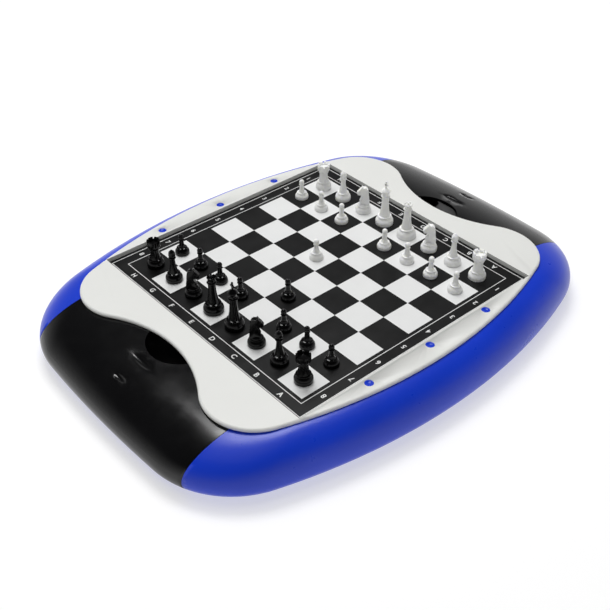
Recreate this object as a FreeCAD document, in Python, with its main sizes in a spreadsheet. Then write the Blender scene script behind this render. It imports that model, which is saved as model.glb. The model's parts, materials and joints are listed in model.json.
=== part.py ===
import FreeCAD, Part
import math
import os
import re

import Sketcher

# Magnetic chess set in a moulded case with two pull-out storage drawers.
# Frame: +X towards White's end, +Y towards file H, +Z up, origin on the floor
# under the middle of the board. Millimetres.

doc = FreeCAD.newDocument("MagneticChessSet")
V = FreeCAD.Vector
Z_AXIS = V(0, 0, 1)
FLAT = 0.01

# ---------------------------------------------------------------- driving sizes

SIZES = {
    # playing field
    "square_size": 22.0,
    "sheet_border": 13.0,
    "sheet_thickness": 0.4,
    "steel_margin": 1.0,
    "steel_thickness": 0.8,
    "field_height": 32.0,
    # case outline at its widest level
    "end_margin": 57.5,
    "side_margin": 17.5,
    "side_radius": 418.0,
    "end_radius": 960.0,
    "corner_radius": 64.0,
    # case profile, from the floor plate to the crown
    "foot_height": 2.0,
    "rim_height": 12.0,
    "crown_step": 0.5,
    "end_reach": 54.0,
    "side_reach": 21.0,
    "corner_reach": 44.0,
    "case_wall": 2.2,
    # white top panel
    "panel_step": 3.0,
    "panel_thickness": 2.2,
    "panel_side_margin": 16.5,
    "panel_end_margin": 16.5,
    "lobe_lead": 2.3,
    "lobe_setback": 35.0,
    "lobe_radius": 34.0,
    "panel_edge_round": 1.6,
    "opening_gap": 0.2,
    # deck under the steel plate, and the rebate in the case that takes deck and panel
    "rebate_end_land": 6.0,
    "rebate_side_land": 2.4,
    "rebate_inset": 0.8,
    "rebate_gap": 0.3,
    "deck_thickness": 2.0,
    # panel screws and their plugs
    "fixing_pitch": 2.35,
    "boss_gap": 0.4,
    "plug_radius": 2.85,
    "plug_thickness": 1.0,
    "plug_rim": 0.7,
    "plug_chamfer": 0.2,
    "plug_dish_depth": 0.45,
    "plug_gap": 0.15,
    "plug_inset": 0.2,
    "panel_head_radius": 2.6,
    "panel_head_height": 1.2,
    "panel_shank_radius": 1.2,
    "panel_shank_length": 12.0,
    "shank_clearance": 0.3,
    "thread_clearance": 0.05,
    "boss_radius": 3.6,
    "boss_clearance": 0.5,
    # drawers
    "cheek_lap": 21.7,
    "drawer_side_gap": 0.3,
    "drawer_floor_gap": 0.5,
    "drawer_head_gap": 0.5,
    "drawer_wall": 1.6,
    "drawer_floor": 2.0,
    "tail_gap": 5.0,
    "store_setback": 15.5,
    "well_lead": 15.5,
    "well_half_width": 24.0,
    "divider_offset": 25.5,
    "tongue_lead": 6.0,
    "tongue_setback": 13.3,
    "drawer_keep": 9.0,
    "stop_length": 3.0,
    "stop_depth": 1.7,
    "stop_low": 8.0,
    "stop_high": 20.0,
    "stop_play": 1.0,
    "tab_length": 4.0,
    "runner_line": 45.0,
    "runner_width": 2.0,
    "runner_setback": 25.0,
    "centre_rib": 3.0,
    # drawer handle covers
    "handle_lap": 4.0,
    "handle_wall": 2.2,
    "finger_reach": 18.5,
    "finger_half_width": 21.5,
    "large_dimple_setback": 36.0,
    "large_dimple_half_width": 10.5,
    "large_dimple_half_length": 2.6,
    "small_dimple_setback": 20.0,
    "small_dimple_half_width": 6.0,
    "small_dimple_half_length": 2.0,
    "dimple_depth": 0.8,
    "dimple_round": 3.0,
    "outer_boss_lead": 1.9,
    "outer_boss_inset": 8.0,
    "inner_boss_lead": 10.5,
    "inner_boss_y": 30.0,
    "drawer_boss_radius": 3.5,
    "pad_radius": 5.0,
    "pad_height": 4.0,
    "drawer_head_radius": 2.6,
    "drawer_head_height": 1.6,
    "drawer_head_recess": 2.2,
    "head_clearance": 0.3,
    "drawer_shank_radius": 1.0,
    "drawer_shank_length": 9.5,
    # rubber feet
    "foot_radius": 7.0,
    "foot_recess": 0.8,
    "foot_gap": 0.2,
    "foot_end_margin": 57.0,
    "foot_side_margin": 43.0,
    # what all men share
    "man_foot_height": 1.6,
    "man_foot_round": 0.9,
    "bell_hollow": 0.4,
    "collar_height": 0.8,
    "ball_seat": 0.7,
    "magnet_thickness": 1.5,
    "magnet_wall": 1.4,
    "magnet_gap": 0.1,
    "magnet_inset": 0.2,
    # tops of the king, queen, pawn, bishop and rook
    "cross_root": 0.5,
    "cross_width": 3.2,
    "cross_bar": 1.1,
    "cross_arm_height": 2.4,
    "king_cross_height": 35.0,
    "queen_ball_radius": 1.0,
    "pawn_ball_radius": 1.95,
    "bishop_ball_radius": 2.3,
    "rook_bowl_radius": 3.0,
    "rook_bowl_depth": 2.0,
    "rook_notch_width": 1.3,
    "rook_notch_depth": 1.4,
    # knight's head
    "knight_head_length": 9.6,
    "knight_head_height": 14.7,
    "knight_head_back": 4.5,
    "knight_head_width": 4.6,
    "knight_bevel": 0.5,
    "knight_turn": 41.0,
    # how far a cutting form runs past a face, and a block past the case
    "overrun": 1.0,
    "far_overrun": 10.0,
}

# Turned outline of each kind of man: radius or height at each station.
MEN = {
    "pawn": dict(base=5.0, bell=3.2, bell_height=4.4, collar=3.4, stem=2.8, neck=1.3,
                 neck_height=11.1, flare=1.6, flare_height=11.5, crown=1.3, crown_height=12.2),
    "rook": dict(base=5.9, bell=4.2, bell_height=5.3, collar=4.45, stem=3.9, neck=3.2,
                 neck_height=13.4, flare=4.35, flare_height=15.6, crown=4.6, crown_height=20.4),
    "knight": dict(base=5.8, bell=4.0, bell_height=4.8, collar=4.25, stem=3.9, neck=3.8,
                   neck_height=6.0, flare=3.8, flare_height=6.3, crown=3.4, crown_height=6.8),
    "bishop": dict(base=5.8, bell=3.8, bell_height=5.4, collar=4.05, stem=3.3, neck=1.8,
                   neck_height=17.6, flare=2.25, flare_height=18.2, crown=2.0, crown_height=20.3),
    "queen": dict(base=6.8, bell=4.6, bell_height=6.0, collar=4.85, stem=4.0, neck=2.5,
                  neck_height=22.0, flare=2.2, flare_height=23.4, crown=3.0, crown_height=26.2),
    "king": dict(base=6.4, bell=4.5, bell_height=6.0, collar=4.75, stem=3.9, neck=2.6,
                 neck_height=22.2, flare=3.3, flare_height=27.2, crown=1.5, crown_height=29.2),
}

# Knight's head in side view, muzzle towards +X: shares of head length and height.
KNIGHT_HEAD = (
    (0.12, 0.00), (0.86, 0.00), (0.80, 0.20), (0.62, 0.40), (0.66, 0.50), (0.88, 0.44),
    (1.00, 0.52), (0.96, 0.64), (0.66, 0.86), (0.52, 0.90), (0.44, 1.00), (0.34, 0.90),
    (0.12, 0.72), (0.02, 0.46), (0.00, 0.20),
)

FILES = "abcdefgh"
BACK_RANK = ("rook", "bishop", "knight", "queen", "king", "knight", "bishop", "rook")


def add_sheet():
    """Write every driving size into a spreadsheet cell with its name as alias."""
    table = doc.addObject("Spreadsheet::Sheet", "Sizes")
    values = dict(SIZES)
    for kind, stations in MEN.items():
        for station, value in stations.items():
            values[f"{kind}_{station}"] = value
    for row, (alias, value) in enumerate(values.items(), start=1):
        table.set(f"A{row}", alias)
        table.set(f"B{row}", str(value))
        table.setAlias(f"B{row}", alias)
    doc.recompute()
    return table, set(values)


sheet, ALIASES = add_sheet()

# Lines and levels that several pieces share, as formulas of the driving sizes.
LINES = {
    "sheet_half": "4 * square_size + sheet_border",
    "steel_half": "sheet_half + steel_margin",
    "opening_half": "sheet_half + opening_gap",
    "panel_half_width": "sheet_half + panel_side_margin",
    "panel_waist": "sheet_half + panel_end_margin",
    "lobe_centre_x": "sheet_half + lobe_lead",
    "lobe_centre_y": "sheet_half - lobe_setback",
    "case_half_length": "panel_waist + end_margin",
    "case_half_width": "panel_half_width + side_margin",
    "beyond_length": "case_half_length + far_overrun",
    "beyond_width": "case_half_width + far_overrun",
    "beyond_top": "panel_top + far_overrun",
    "floor_top": "foot_height + case_wall",
    "floor_middle": "foot_height + case_wall / 2",
    "steel_top": "field_height - sheet_thickness",
    "deck_top": "steel_top - steel_thickness",
    "deck_bottom": "deck_top - deck_thickness",
    "crown_height": "field_height + crown_step",
    "panel_top": "field_height + panel_step",
    "panel_bottom": "panel_top - panel_thickness",
    "plug_bottom": "panel_top - plug_inset - plug_thickness",
    "head_seat": "plug_bottom - panel_head_height",
    "fixing_spacing": "fixing_pitch * square_size",
    "fixing_line": "steel_half + boss_radius + boss_gap",
    "rebate_half_length": "steel_half + rebate_end_land",
    "rebate_half_width": "fixing_line + boss_radius + rebate_side_land",
    "tunnel_half_width": "sheet_half - cheek_lap",
    "drawer_half": "tunnel_half_width - drawer_side_gap",
    "bin_half": "drawer_half - handle_wall",
    "drawer_bottom": "floor_top + drawer_floor_gap",
    "drawer_top": "deck_bottom - drawer_head_gap",
    "storage_floor": "drawer_bottom + drawer_floor",
    "drawer_tail": "centre_rib + tail_gap",
    "storage_front": "panel_waist - store_setback",
    "well_front": "panel_waist + well_lead",
    "drawer_travel": "storage_front - drawer_tail - drawer_keep",
    "stop_back": "drawer_tail + tab_length + drawer_travel + stop_play",
    "runner_front": "case_half_length - runner_setback",
    "handle_inboard": "panel_waist - handle_lap",
    "outer_boss_x": "well_front + drawer_wall + drawer_boss_radius + outer_boss_lead",
    "inner_boss_x": "outer_boss_x + inner_boss_lead",
    "tongue_front": "inner_boss_x + tongue_lead",
    "tongue_half_width": "tunnel_half_width - tongue_setback",
    "outer_boss_y": "tongue_half_width - outer_boss_inset",
    "pad_top": "drawer_bottom + pad_height",
    "dimple_lift": "dimple_round - dimple_depth",
    "dimple_share": "sqrt(1 - (dimple_lift / dimple_round) ^ 2)",
    "web_bottom": "drawer_bottom + drawer_head_recess",
    "foot_x": "case_half_length - foot_end_margin",
    "foot_y": "case_half_width - foot_side_margin",
}

NAME = re.compile(r"\b[a-z_][a-z_0-9]*\b")


def formula(text):
    """Turn the names of sizes and lines into references to the spreadsheet."""
    def reference(found):
        name = found.group(0)
        if name in LINES:
            return f"({formula(LINES[name])})"
        return f"Sizes.{name}" if name in ALIASES else name
    return NAME.sub(reference, str(text))


def size(text):
    """The present value of a size, a line or a formula of them."""
    return float(sheet.evalExpression(formula(text)))


def bind(obj, **expressions):
    """Bind properties to formulas; x, y and z stand for the placement's position."""
    for name, text in expressions.items():
        path = f".Placement.Base.{name}" if name in ("x", "y", "z") else name
        obj.setExpression(path, formula(text))
    return obj


# ---------------------------------------------------------------- building blocks

def box(name, x, y, z):
    """A block between two corners; each argument is a (low, high) pair of formulas."""
    block = doc.addObject("Part::Box", name)
    spans = {"Length": x, "Width": y, "Height": z}
    for prop, (low, high) in spans.items():
        block.setExpression(prop, formula(f"({high}) - ({low})"))
    return bind(block, x=x[0], y=y[0], z=z[0])


def mirrored(side, low, high):
    """A span between two distances from a middle plane, on one side of it."""
    return (low, high) if side > 0 else (f"-({high})", f"-({low})")


def cylinder(name, radius, z, x=0, y=0):
    """An upright cylinder between two heights."""
    rod = doc.addObject("Part::Cylinder", name)
    return bind(rod, Radius=radius, Height=f"({z[1]}) - ({z[0]})", x=x, y=y, z=z[0])


def fuse(name, *shapes):
    joined = doc.addObject("Part::MultiFuse", name)
    joined.Shapes = list(shapes)
    return joined


def common(name, base, tool):
    shared = doc.addObject("Part::Common", name)
    shared.Base = base
    shared.Tool = tool
    return shared


def cut(name, base, *tools):
    tool = tools[0] if len(tools) == 1 else fuse(f"{name}_tools", *tools)
    result = doc.addObject("Part::Cut", name)
    result.Base = base
    result.Tool = tool
    return result


def placed(name, *forms, x=0, y=0, z=0, turn=0):
    """One copy of one or more forms, moved and turned about Z."""
    copy = doc.addObject("Part::Compound", name)
    copy.Links = list(forms)
    copy.Placement = FreeCAD.Placement(V(0, 0, 0), FreeCAD.Rotation(Z_AXIS, turn))
    return bind(copy, x=x, y=y, z=z)


def origin_plane(body, role):
    return next(f for f in body.Origin.OriginFeatures if f.Role == role)


def polygon_sketch(body, name, points):
    """A closed outline on the body's XZ plane; every corner is held by two formulas."""
    sketch = body.newObject("Sketcher::SketchObject", name)
    sketch.AttachmentSupport = [(origin_plane(body, "XZ_Plane"), "")]
    sketch.MapMode = "FlatFace"
    corners = [V(size(across), size(up), 0) for across, up in points]
    for index, corner in enumerate(corners):
        following = corners[(index + 1) % len(corners)]
        sketch.addGeometry(Part.LineSegment(corner, following), False)
    for index, (across, up) in enumerate(points):
        following = (index + 1) % len(points)
        sketch.addConstraint(Sketcher.Constraint("Coincident", index, 2, following, 1))
        for axis, text, value in (("X", across, corners[index].x), ("Y", up, corners[index].y)):
            if text == "0":
                line = -2 if axis == "X" else -1
                sketch.addConstraint(Sketcher.Constraint("PointOnObject", index, 1, line))
                continue
            number = sketch.addConstraint(
                Sketcher.Constraint(f"Distance{axis}", -1, 1, index, 1, value))
            sketch.setExpression(f"Constraints[{number}]", formula(text))
    return sketch


def turned_body(name, points):
    """A body turned about the Z axis from (radius, height) formulas."""
    body = doc.addObject("PartDesign::Body", name)
    sketch = polygon_sketch(body, f"{name}_outline", points)
    turning = body.newObject("PartDesign::Revolution", f"{name}_turning")
    turning.Profile = sketch
    turning.ReferenceAxis = (sketch, ["V_Axis"])
    turning.Angle = 360
    return body


# ---------------------------------------------------------------- case form

# Angles round the rounded profile, in degrees, at which the case's outline is set out.
UNDER_ANGLES = (90, 67, 45, 22, 0)
CROWN_ANGLES = (0, 16, 32, 48, 62, 76, 90)


def case_outline(length, width, side, end, corner, height):
    """Closed outline of four corner arcs tangent to two side arcs and two end arcs."""
    side_y = width - side
    end_x = length - end
    span = math.hypot(end_x, side_y)
    to_side = side - corner
    to_end = end - corner
    along = (to_side ** 2 - to_end ** 2 + span ** 2) / (2 * span)
    off = math.sqrt(to_side ** 2 - along ** 2)
    ux, uy = end_x / span, -side_y / span
    candidates = [(along * ux - sign * off * uy, side_y + along * uy + sign * off * ux)
                  for sign in (1, -1)]
    cx, cy = max(candidates, key=sum)
    side_angle = math.atan2(cy - side_y, cx)
    end_angle = math.atan2(cy, cx - end_x)
    on_side = (side * math.cos(side_angle), side_y + side * math.sin(side_angle))
    on_end = (end_x + end * math.cos(end_angle), end * math.sin(end_angle))
    middle = (side_angle + end_angle) / 2
    on_corner = (cx + corner * math.cos(middle), cy + corner * math.sin(middle))

    def point(pair, sx, sy):
        return V(sx * pair[0], sy * pair[1], height)

    arcs = []
    for sx, sy in ((1, 1), (-1, 1), (-1, -1), (1, -1)):
        first, last = (on_end, on_side) if sx * sy > 0 else (on_side, on_end)
        arcs.append((point(first, sx, sy), point(on_corner, sx, sy), point(last, sx, sy)))
        if sx * sy > 0:
            arcs.append((point(on_side, sx, sy), V(0, sy * width, height),
                         point(on_side, -sx, sy)))
        else:
            arcs.append((point(on_end, sx, sy), V(sx * length, 0, height),
                         point(on_end, sx, -sy)))
    return Part.Wire([Part.Arc(*three).toShape() for three in arcs])


def case_section(inset, angle, rise, reaches):
    """Outline at one angle of the rounded profile, drawn in as the profile closes."""
    close = 1 - math.cos(math.radians(angle))
    end_in, side_in, corner_in = [inset + reach * close for reach in reaches]
    height = size("rim_height") + rise * math.sin(math.radians(angle))
    return case_outline(
        size("case_half_length") - end_in, size("case_half_width") - side_in,
        size("side_radius") - side_in, size("end_radius") - end_in,
        size("corner_radius") - corner_in, height)


def case_form(name, inset):
    """Solid of the whole case's outer surface, or of its inner surface with an inset."""
    under = size("rim_height") - size("foot_height") - inset
    rise = size("crown_height") - size("rim_height") - inset
    reaches = [size(f"{part}_reach") for part in ("end", "side", "corner")]
    lower = [case_section(inset, angle, -under, [under] * 3) for angle in UNDER_ANGLES]
    upper = [case_section(inset, angle, rise, reaches) for angle in CROWN_ANGLES]
    form = doc.addObject("Part::Feature", name)
    below = Part.makeLoft(lower, True, False)
    above = Part.makeLoft(upper, True, False)
    form.Shape = below.fuse(above)
    form.Placement = FreeCAD.Placement()
    return form


# ---------------------------------------------------------------- fixed case pieces

# The four quarters of the case, as signs of X and Y.
QUARTERS = ((1, 1), (1, -1), (-1, 1), (-1, -1))


def fixings():
    """Places of the six panel screws."""
    return [(f"{step} * fixing_spacing", f"{side} * fixing_line")
            for side in (-1, 1) for step in (-1, 0, 1)]


def drawer_stops():
    """Ribs on the tunnel walls that stop the drawers' tabs."""
    return [box(f"drawer_stop_{n}", mirrored(end, "stop_back", "stop_back + stop_length"),
                mirrored(side, "tunnel_half_width - stop_depth", "tunnel_half_width + case_wall / 2"),
                ("stop_low", "stop_high"))
            for n, (end, side) in enumerate(QUARTERS, 1)]


def drawer_runners():
    """Low ribs on the floor that the drawers slide on."""
    return [box(f"drawer_runner_{n}", mirrored(end, "drawer_tail", "runner_front"),
                mirrored(side, "runner_line - runner_width / 2", "runner_line + runner_width / 2"),
                ("floor_middle", "drawer_bottom"))
            for n, (end, side) in enumerate(QUARTERS, 1)]


def base_shell(outer, inner):
    """Blue lower moulding: floor, two domed cheeks, drawer tunnel walls and screw bosses."""
    length = ("-beyond_length", "beyond_length")
    floor = box("floor_slab", length, ("-beyond_width", "beyond_width"), (0, "floor_top"))
    cheeks = [box(f"cheek_block_{n}", length, mirrored(side, "tunnel_half_width", "beyond_width"),
                  (0, "beyond_top"))
              for n, side in enumerate((1, -1), 1)]
    hollows = [box(f"cheek_hollow_{n}", length,
                   mirrored(side, "tunnel_half_width + case_wall", "beyond_width"), (0, "beyond_top"))
               for n, side in enumerate((1, -1), 1)]
    solid = common("base_solid", outer, fuse("base_blocks", floor, *cheeks))
    hollow = common("cheek_hollows", inner, fuse("hollow_blocks", *hollows))
    rebate = rebate_block("deck_rebate", "0", "deck_bottom", "beyond_top")
    shell = cut("base_hollowed", solid, hollow, rebate)
    bosses = [cylinder(f"base_boss_{n}", "boss_radius", ("floor_middle", "steel_top"), x, y)
              for n, (x, y) in enumerate(fixings(), 1)]
    rib = box("centre_support_rib", ("-centre_rib", "centre_rib"),
              ("-(tunnel_half_width + case_wall / 2)", "tunnel_half_width + case_wall / 2"),
              ("floor_middle", "deck_bottom"))
    whole = fuse("base_with_bosses", shell, rib, *bosses, *drawer_runners(), *drawer_stops())
    pilots = [cylinder(f"base_pilot_{n}", "panel_shank_radius + thread_clearance",
                       ("head_seat - panel_shank_length - overrun", "steel_top + overrun"), x, y)
              for n, (x, y) in enumerate(fixings(), 1)]
    recesses = [cylinder(f"foot_recess_{n}", "foot_radius + foot_gap",
                         (0, "foot_height + foot_recess"), x, y)
                for n, (x, y) in enumerate(feet(), 1)]
    return cut("base_shell", whole, *pilots, *recesses)


def feet():
    """Places of the four rubber feet."""
    return [(f"{end} * foot_x", f"{side} * foot_y") for end, side in QUARTERS]


def rubber_feet():
    pads = [cylinder(f"rubber_foot_{n}", "foot_radius", (0, "foot_height + foot_recess"), x, y)
            for n, (x, y) in enumerate(feet(), 1)]
    return placed("rubber_feet", *pads)


def support_deck():
    """Black inner plate over both drawer tunnels that carries the steel plate."""
    plate = rebate_block("deck_plate", "rebate_gap", "deck_bottom", "deck_top")
    holes = [cylinder(f"deck_hole_{n}", "boss_radius + boss_clearance",
                      ("deck_bottom - overrun", "deck_top + overrun"), x, y)
             for n, (x, y) in enumerate(fixings(), 1)]
    return cut("support_deck", plate, *holes)


def square_plate(name, half, bottom, top):
    return box(name, (f"-({half})", half), (f"-({half})", half), (bottom, top))


def inside_panel(name, block, gap):
    """The part of a block that stays inside the panel's outline, drawn in for the rebate."""
    prism = doc.addObject("Part::Feature", f"{name}_prism")
    outline = panel_outline(0, size(f"rebate_inset + {gap}"))
    prism.Shape = Part.Face(outline).extrude(V(0, 0, size("beyond_top")))
    prism.Placement = FreeCAD.Placement()
    return common(name, block, prism)


def rebate_block(name, gap, bottom, top):
    """A block that fills the rebate between two heights, with a gap all round."""
    length = f"rebate_half_length - {gap}"
    width = f"rebate_half_width - {gap}"
    block = box(f"{name}_block", (f"-({length})", length), (f"-({width})", width), (bottom, top))
    return inside_panel(name, block, gap)


def steel_plate():
    """Steel sheet that holds the magnetic men, with its corners clipped to clear the case."""
    plate = square_plate("steel_blank", "steel_half", "deck_top", "steel_top")
    return inside_panel("steel_plate", plate, "rebate_gap")


def panel_outline(height, inset=0.0):
    """Hourglass outline: lobe arcs tangent to the waist arcs and to the side arcs."""
    cx, cy, lobe = size("lobe_centre_x"), size("lobe_centre_y"), size("lobe_radius") - inset
    width, waist = size("panel_half_width") - inset, size("panel_waist") - inset
    drop = width - cy
    side = (cx ** 2 + drop ** 2 - lobe ** 2) / (2 * (drop - lobe))
    gap = waist - cx
    hollow = (gap ** 2 + cy ** 2 - lobe ** 2) / (2 * (lobe - gap))
    side_y = width - side
    to_side = math.atan2(cy - side_y, cx)
    to_waist = math.atan2(-cy, waist + hollow - cx)
    on_side = (cx + lobe * math.cos(to_side), cy + lobe * math.sin(to_side))
    on_waist = (cx + lobe * math.cos(to_waist), cy + lobe * math.sin(to_waist))
    middle = (to_side + to_waist) / 2
    on_lobe = (cx + lobe * math.cos(middle), cy + lobe * math.sin(middle))

    def point(pair, sx, sy):
        return V(sx * pair[0], sy * pair[1], height)

    arcs = []
    for sx, sy in ((1, 1), (-1, 1), (-1, -1), (1, -1)):
        first, last = (on_waist, on_side) if sx * sy > 0 else (on_side, on_waist)
        arcs.append((point(first, sx, sy), point(on_lobe, sx, sy), point(last, sx, sy)))
        if sx * sy > 0:
            arcs.append((point(on_side, sx, sy), V(0, sy * width, height),
                         point(on_side, -sx, sy)))
        else:
            arcs.append((point(on_waist, sx, sy), V(sx * waist, 0, height),
                         point(on_waist, sx, -sy)))
    return Part.Wire([Part.Arc(*three).toShape() for three in arcs])


def panel_plate():
    """Hourglass plate with a rounded top edge."""
    slab = Part.Face(panel_outline(size("panel_bottom"))).extrude(V(0, 0, size("panel_thickness")))
    rim = [edge for edge in slab.Edges if edge.BoundBox.ZMin > size("panel_top") - FLAT]
    plate = doc.addObject("Part::Feature", "panel_plate_form")
    plate.Shape = slab.makeFillet(size("panel_edge_round"), rim)
    plate.Placement = FreeCAD.Placement()
    return plate


def top_panel():
    """White panel that frames the playing field and holds sheet, steel and deck down."""
    flange = rebate_block("panel_flange", "rebate_gap", "steel_top",
                          "panel_bottom + panel_thickness / 2")
    window = square_plate("panel_window", "opening_half", "steel_top - overrun",
                          "panel_top + overrun")
    seats = [cylinder(f"panel_seat_{n}", "plug_radius + plug_gap",
                      ("head_seat", "panel_top + overrun"), x, y)
             for n, (x, y) in enumerate(fixings(), 1)]
    holes = [cylinder(f"panel_hole_{n}", "panel_shank_radius + shank_clearance",
                      ("steel_top - overrun", "panel_top"), x, y)
             for n, (x, y) in enumerate(fixings(), 1)]
    return cut("top_panel", fuse("panel_solid", panel_plate(), flange), window, *seats, *holes)


def panel_screws():
    head_top = "panel_shank_length + panel_head_height"
    form = turned_body("panel_screw_form", [
        ("0", "0"), ("panel_shank_radius", "0"),
        ("panel_shank_radius", "panel_shank_length"),
        ("panel_head_radius", "panel_shank_length"),
        ("panel_head_radius", head_top), ("0", head_top)])
    screws = [placed(f"panel_screw_{n}", form, x=x, y=y, z="head_seat - panel_shank_length")
              for n, (x, y) in enumerate(fixings(), 1)]
    return placed("panel_screws", *screws)


def panel_plugs():
    """Blue round plugs with dished tops that hide the panel screws."""
    form = turned_body("plug_form", [
        ("0", "0"), ("plug_radius", "0"), ("plug_radius", "plug_thickness - plug_chamfer"),
        ("plug_radius - plug_chamfer", "plug_thickness"),
        ("plug_radius - plug_rim", "plug_thickness"),
        ("0", "plug_thickness - plug_dish_depth")])
    plugs = [placed(f"panel_plug_{n}", form, x=x, y=y, z="plug_bottom")
             for n, (x, y) in enumerate(fixings(), 1)]
    return placed("panel_plugs", *plugs)


# ---------------------------------------------------------------- drawers

def drawer_bosses():
    """Places of the four screws that join a drawer's handle cover to its bin."""
    return [(f"{name}_boss_x", f"{side} * {name}_boss_y")
            for name in ("inner", "outer") for side in (-1, 1)]


def drawer_bin_form():
    """Black storage bin with three long compartments, a finger well and a front tongue."""
    block = box("bin_block", ("drawer_tail", "well_front + drawer_wall"),
                ("-bin_half", "bin_half"), ("drawer_bottom", "drawer_top"))
    tongue = box("bin_tongue", ("well_front", "tongue_front"),
                 ("-tongue_half_width", "tongue_half_width"), ("drawer_bottom", "storage_floor"))
    tabs = [box(f"bin_tab_{n}", ("drawer_tail", "drawer_tail + tab_length"),
                mirrored(side, "bin_half - drawer_wall / 2", "drawer_half"),
                ("stop_low", "stop_high"))
            for n, side in enumerate((1, -1), 1)]
    pads = [cylinder(f"bin_pad_{n}", "pad_radius", ("drawer_bottom", "pad_top"), x, y)
            for n, (x, y) in enumerate(drawer_bosses(), 1)]
    solid = fuse("bin_solid", block, tongue, *tabs, *pads)
    storage = ("drawer_tail + drawer_wall", "storage_front")
    front = ("storage_front + drawer_wall", "well_front")
    top = ("storage_floor", "drawer_top + overrun")
    inside = "bin_half - drawer_wall"
    divider = "divider_offset - drawer_wall / 2"
    hollows = [box("middle_store", storage, (f"-({divider})", divider), top),
               box("finger_well", front, ("-well_half_width", "well_half_width"), top)]
    for n, side in enumerate((1, -1), 1):
        hollows.append(box(f"side_store_{n}", storage,
                           mirrored(side, f"{divider} + drawer_wall", inside), top))
        hollows.append(box(f"front_store_{n}", front,
                           mirrored(side, "well_half_width + drawer_wall", inside), top))
    recesses = [cylinder(f"bin_recess_{n}", "drawer_head_radius + head_clearance",
                         ("drawer_bottom - overrun", "web_bottom"), x, y)
                for n, (x, y) in enumerate(drawer_bosses(), 1)]
    holes = [cylinder(f"bin_hole_{n}", "drawer_shank_radius + shank_clearance",
                      ("drawer_bottom", "pad_top + overrun"), x, y)
             for n, (x, y) in enumerate(drawer_bosses(), 1)]
    return cut("drawer_bin_form", solid, *hollows, *recesses, *holes)


def crown_level(x):
    """Height of the case's outer surface on the long axis at a distance x."""
    close = (x - size("case_half_length") + size("end_reach")) / size("end_reach")
    rise = size("crown_height") - size("rim_height")
    return size("rim_height") + rise * math.sqrt(max(0.0, 1 - max(0.0, close) ** 2))


def crown_slope(x, step=0.5):
    """Downward slope angle, in degrees, of the outer surface at a distance x."""
    return math.degrees(math.atan2(crown_level(x - step) - crown_level(x + step), 2 * step))


def dimple(name):
    """Shallow lens-shaped hollow, wider across the drawer than along it."""
    centre = size(f"case_half_length - {name}_dimple_setback")
    slope = crown_slope(centre)
    outward = V(math.sin(math.radians(slope)), 0, math.cos(math.radians(slope)))
    tool = doc.addObject("Part::Ellipsoid", f"{name}_dimple")
    bind(tool, Radius1="dimple_round", Radius2=f"{name}_dimple_half_length / dimple_share",
         Radius3=f"{name}_dimple_half_width / dimple_share")
    tool.Angle1 = -90
    tool.Placement = FreeCAD.Placement(
        V(centre, 0, crown_level(centre)) + outward * size("dimple_lift"),
        FreeCAD.Rotation(V(0, 1, 0), slope))
    return tool


def handle_cover_form(outer, inner):
    """Glossy black domed cover with a finger notch, two thumb dimples and four bosses."""
    block = box("handle_block", ("handle_inboard", "beyond_length"),
                ("-drawer_half", "drawer_half"), ("drawer_bottom", "beyond_top"))
    room = box("handle_room", ("handle_inboard - overrun", "beyond_length"),
               ("-bin_half", "bin_half"), (0, "beyond_top"))
    shell = cut("handle_shell", common("handle_solid", outer, block),
                common("handle_hollow", inner, room))
    bosses = common("handle_bosses", outer, fuse("handle_boss_rods", *[
        cylinder(f"handle_boss_{n}", "drawer_boss_radius", ("pad_top", "beyond_top"), x, y)
        for n, (x, y) in enumerate(drawer_bosses(), 1)]))
    notch = doc.addObject("Part::Feature", "finger_notch")
    ellipse = Part.Ellipse(V(0, 0, 0), size("finger_half_width"), size("finger_reach"))
    notch.Shape = Part.Face(Part.Wire(ellipse.toShape())).extrude(V(0, 0, size("panel_top")))
    notch.Placement = FreeCAD.Placement(
        V(size("handle_inboard"), 0, size("rim_height")), FreeCAD.Rotation(Z_AXIS, 90))
    pilots = [cylinder(f"handle_pilot_{n}", "drawer_shank_radius + thread_clearance",
                       ("pad_top - overrun", "web_bottom + drawer_shank_length + overrun"), x, y)
              for n, (x, y) in enumerate(drawer_bosses(), 1)]
    return cut("handle_cover_form", fuse("handle_with_bosses", shell, bosses),
               notch, dimple("large"), dimple("small"), *pilots)


def drawer_screws_form():
    screw = turned_body("drawer_screw_form", [
        ("0", "0"), ("drawer_head_radius", "0"),
        ("drawer_head_radius", "drawer_head_height"),
        ("drawer_shank_radius", "drawer_head_height"),
        ("drawer_shank_radius", "drawer_head_height + drawer_shank_length"),
        ("0", "drawer_head_height + drawer_shank_length")])
    screws = [placed(f"drawer_screw_{n}", screw, x=x, y=y, z="web_bottom - drawer_head_height")
              for n, (x, y) in enumerate(drawer_bosses(), 1)]
    return placed("drawer_screws_form", *screws)


def drawers(outer, inner):
    """Two like drawers; the one at Black's end is turned half a turn."""
    forms = {"bin": drawer_bin_form(), "handle": handle_cover_form(outer, inner),
             "screws": drawer_screws_form()}
    return [placed(f"{end}_drawer_{part}", form, turn=turn)
            for end, turn in (("white_end", 0), ("black_end", 180))
            for part, form in forms.items()]


# ---------------------------------------------------------------- chessmen

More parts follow.
